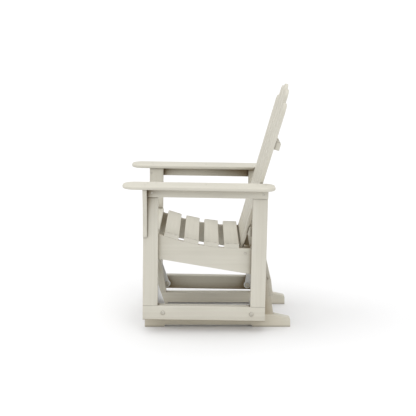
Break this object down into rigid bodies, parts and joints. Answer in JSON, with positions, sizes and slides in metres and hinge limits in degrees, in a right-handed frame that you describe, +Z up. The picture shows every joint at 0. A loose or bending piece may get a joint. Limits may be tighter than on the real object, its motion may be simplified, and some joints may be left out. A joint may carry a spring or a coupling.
{
  "type": "adirondack glider chair",
  "caption": "Adirondack glider chair in sand plastic lumber: fan-slatted back, curved slat seat and wide arms, hung on metal swing arms from a low runner base.",
  "frame": {"origin": "on the floor, under the middle of the box round the whole glider at rest", "axes": "+Z up; the chair faces -Y; +X is the sitter's left"},
  "size_m": [0.767, 0.7883, 1.1532],
  "materials": {
    "plastic_lumber": "sand-coloured plastic lumber with a fine brushed grain, satin",
    "swing_arm_steel": "zinc-plated flat bar, satin",
    "fastener_steel": "stainless steel, satin",
    "bush_nylon": "natural light grey nylon"
  },
  "bodies": {
    "base": {"runner_left": "plastic_lumber", "runner_right": "plastic_lumber", "front_post_left": "plastic_lumber", "front_post_right": "plastic_lumber", "rear_post_left": "plastic_lumber", "rear_post_right": "plastic_lumber", "front_cross_board": "plastic_lumber", "rear_cross_board": "plastic_lumber", "cross_board_screws": "fastener_steel", "runner_screws": "fastener_steel", "upper_pivot_bolts": "fastener_steel", "upper_pivot_spacers": "bush_nylon", "upper_pivot_nuts": "fastener_steel"},
    "front_arm_left": {"front_swing_arm_left": "swing_arm_steel", "front_bushes_left": "bush_nylon"},
    "front_arm_right": {"front_swing_arm_right": "swing_arm_steel", "front_bushes_right": "bush_nylon"},
    "rear_arm_left": {"rear_swing_arm_left": "swing_arm_steel", "rear_bushes_left": "bush_nylon"},
    "rear_arm_right": {"rear_swing_arm_right": "swing_arm_steel", "rear_bushes_right": "bush_nylon"},
    "chair": {"lower_pivot_bolts": "fastener_steel", "lower_pivot_spacers": "bush_nylon", "lower_pivot_nuts": "fastener_steel", "side_rail_left": "plastic_lumber", "side_rail_right": "plastic_lumber", "front_leg_left": "plastic_lumber", "front_leg_right": "plastic_lumber", "rear_leg_left": "plastic_lumber", "rear_leg_right": "plastic_lumber", "leg_screws": "fastener_steel", "apron_left": "plastic_lumber", "apron_right": "plastic_lumber", "apron_screws": "fastener_steel", "arm_bracket_left": "plastic_lumber", "arm_bracket_right": "plastic_lumber", "bracket_screws": "fastener_steel", "armrest_left": "plastic_lumber", "armrest_right": "plastic_lumber", "arm_screws": "fastener_steel", "seat_side_left": "plastic_lumber", "seat_side_right": "plastic_lumber", "seat_side_bolts": "fastener_steel", "seat_front_board": "plastic_lumber", "seat_slat_1": "plastic_lumber", "seat_slat_2": "plastic_lumber", "seat_slat_3": "plastic_lumber", "seat_slat_4": "plastic_lumber", "seat_slat_5": "plastic_lumber", "seat_slat_screws": "fastener_steel", "back_lower_rail": "plastic_lumber", "back_middle_rail": "plastic_lumber", "middle_rail_dowels": "fastener_steel", "back_upper_brace": "plastic_lumber", "back_slat_middle": "plastic_lumber", "back_slat_inner_left": "plastic_lumber", "back_slat_inner_right": "plastic_lumber", "back_slat_outer_left": "plastic_lumber", "back_slat_outer_right": "plastic_lumber", "back_slat_screws": "fastener_steel"}
  },
  "joints": [
    {"name": "front_arm_left_swing", "type": "hinge", "parent": "base", "child": "front_arm_left", "pos_m": [0, -0.27555, 0.27668], "axis": [1, 0, 0], "range_deg": [-16, 8]},
    {"name": "front_arm_right_swing", "type": "hinge", "parent": "base", "child": "front_arm_right", "pos_m": [0, -0.27555, 0.27668], "axis": [1, 0, 0], "range_deg": [-16.5, 8.5]},
    {"name": "rear_arm_left_swing", "type": "hinge", "parent": "base", "child": "rear_arm_left", "pos_m": [0, 0.23568, 0.27668], "axis": [1, 0, 0], "range_deg": [-16.5, 8.5]},
    {"name": "rear_arm_right_swing", "type": "hinge", "parent": "base", "child": "rear_arm_right", "pos_m": [0, 0.23568, 0.27668], "axis": [1, 0, 0], "range_deg": [-16.5, 8.5]},
    {"name": "chair_glide", "type": "hinge", "parent": "front_arm_left", "child": "chair", "pos_m": [0, -0.21526, 0.0965], "axis": [1, 0, 0], "range_deg": [-10, 20]}
  ],
  "couplings": [
    {"joint": "front_arm_right_swing", "follows": "front_arm_left_swing", "ratio": 1},
    {"joint": "rear_arm_left_swing", "follows": "front_arm_left_swing", "ratio": 0.99717},
    {"joint": "rear_arm_right_swing", "follows": "front_arm_left_swing", "ratio": 0.99717},
    {"joint": "chair_glide", "follows": "front_arm_left_swing", "ratio": -1.2207}
  ]
}
